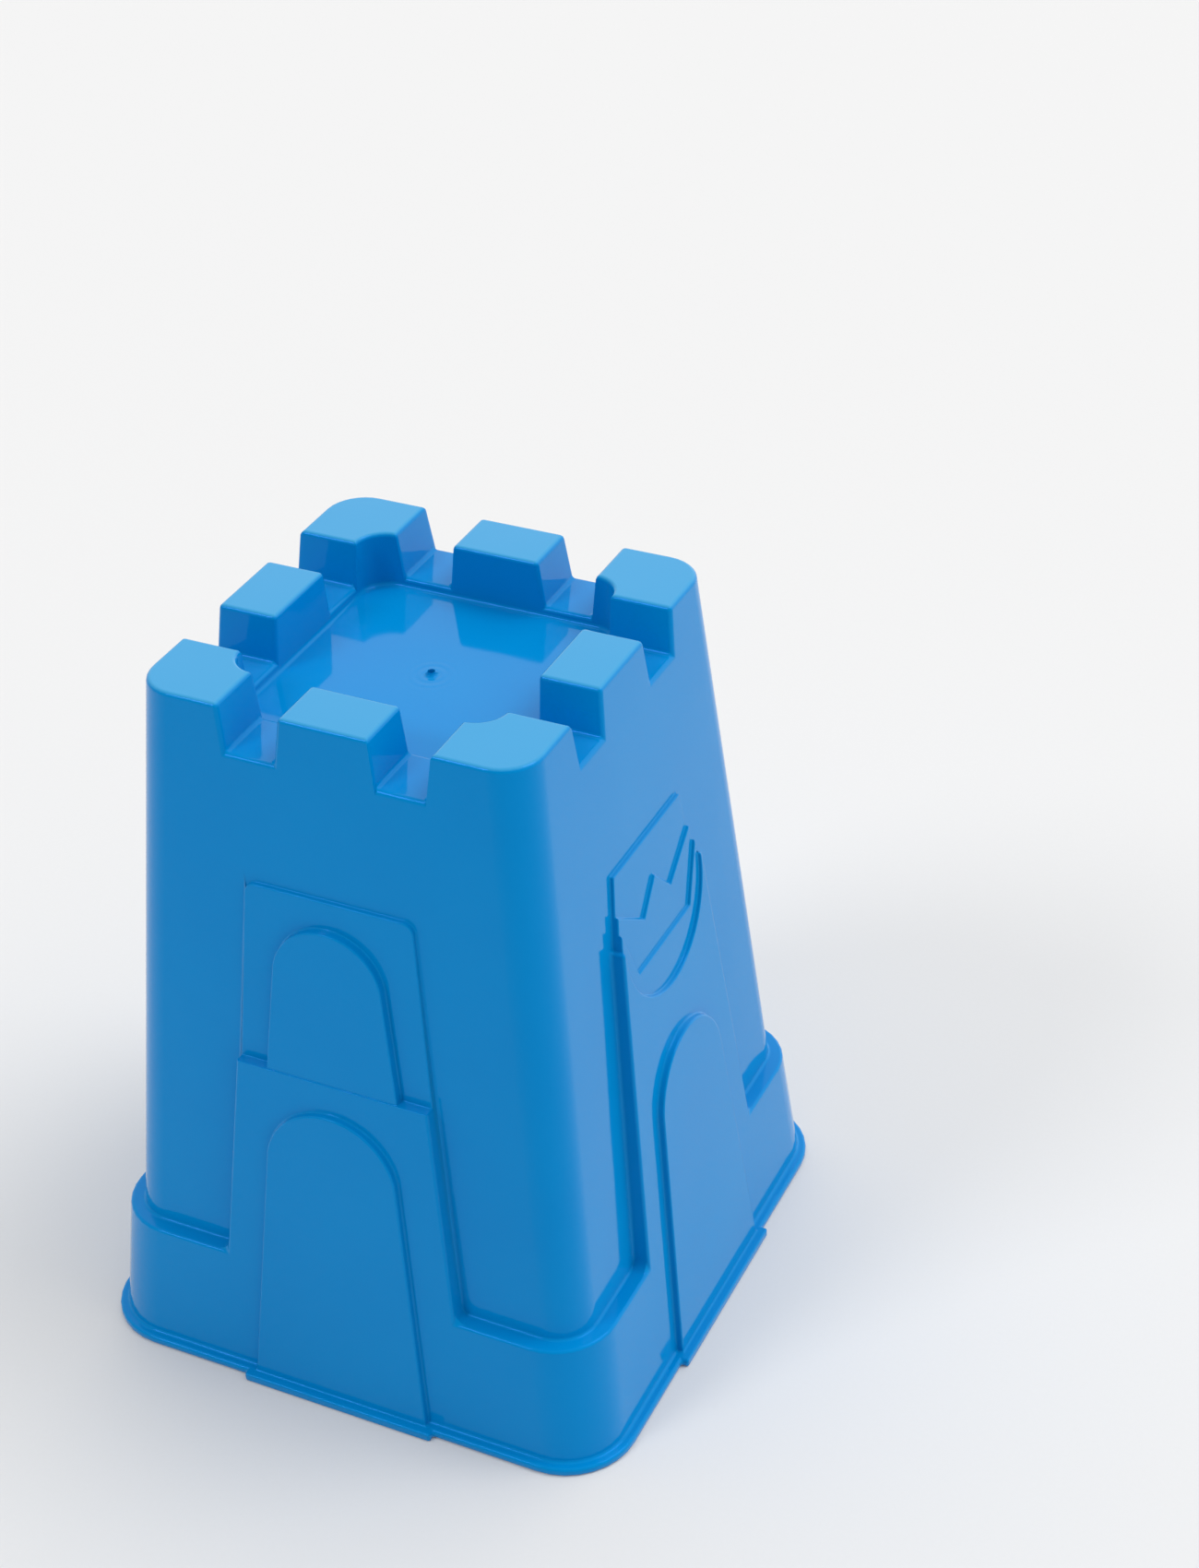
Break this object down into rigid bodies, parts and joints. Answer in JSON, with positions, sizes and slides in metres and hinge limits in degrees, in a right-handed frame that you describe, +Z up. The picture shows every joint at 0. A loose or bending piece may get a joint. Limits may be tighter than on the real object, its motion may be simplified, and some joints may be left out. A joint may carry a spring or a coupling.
{
  "type": "sand bucket",
  "caption": "Square castle-tower sand bucket standing mouth down: drafted walls, battlements, arched doors and windows, shields, plinth ledge and rim flange.",
  "frame": {"origin": "centre of the tower's square plan, on the plane of the rim it stands on (mouth down)", "axes": "+Z up from the rim to the battlements; -Y is the outward direction of one window side and +X that of one shield side"},
  "size_m": [0.1516, 0.1516, 0.19],
  "materials": {
    "moulding": "glossy moulded polypropylene, self-coloured blue"
  },
  "bodies": {
    "root": {"rim": "moulding", "plinth_front_right": "moulding", "plinth_right_back": "moulding", "plinth_back_left": "moulding", "plinth_left_front": "moulding", "wall_front": "moulding", "wall_right": "moulding", "wall_back": "moulding", "wall_left": "moulding", "corner_front_right": "moulding", "corner_right_back": "moulding", "corner_back_left": "moulding", "corner_left_front": "moulding", "gatehouse_front": "moulding", "gatehouse_right": "moulding", "gatehouse_back": "moulding", "gatehouse_left": "moulding", "door_front": "moulding", "door_right": "moulding", "door_back": "moulding", "door_left": "moulding", "window_panel_front": "moulding", "window_panel_back": "moulding", "arched_window_front": "moulding", "arched_window_back": "moulding", "shield_field_right": "moulding", "shield_field_left": "moulding", "crown_right": "moulding", "crown_left": "moulding", "shield_base_right": "moulding", "shield_base_left": "moulding", "bush_left_a": "moulding", "bush_left_b": "moulding", "merlon_front": "moulding", "merlon_right": "moulding", "merlon_back": "moulding", "merlon_left": "moulding", "merlon_front_right": "moulding", "merlon_right_back": "moulding", "merlon_back_left": "moulding", "merlon_left_front": "moulding", "crenel_front_a": "moulding", "crenel_right_a": "moulding", "crenel_back_a": "moulding", "crenel_left_a": "moulding", "crenel_front_b": "moulding", "crenel_right_b": "moulding", "crenel_back_b": "moulding", "crenel_left_b": "moulding", "deck": "moulding", "feed_mark": "moulding"}
  },
  "joints": []
}
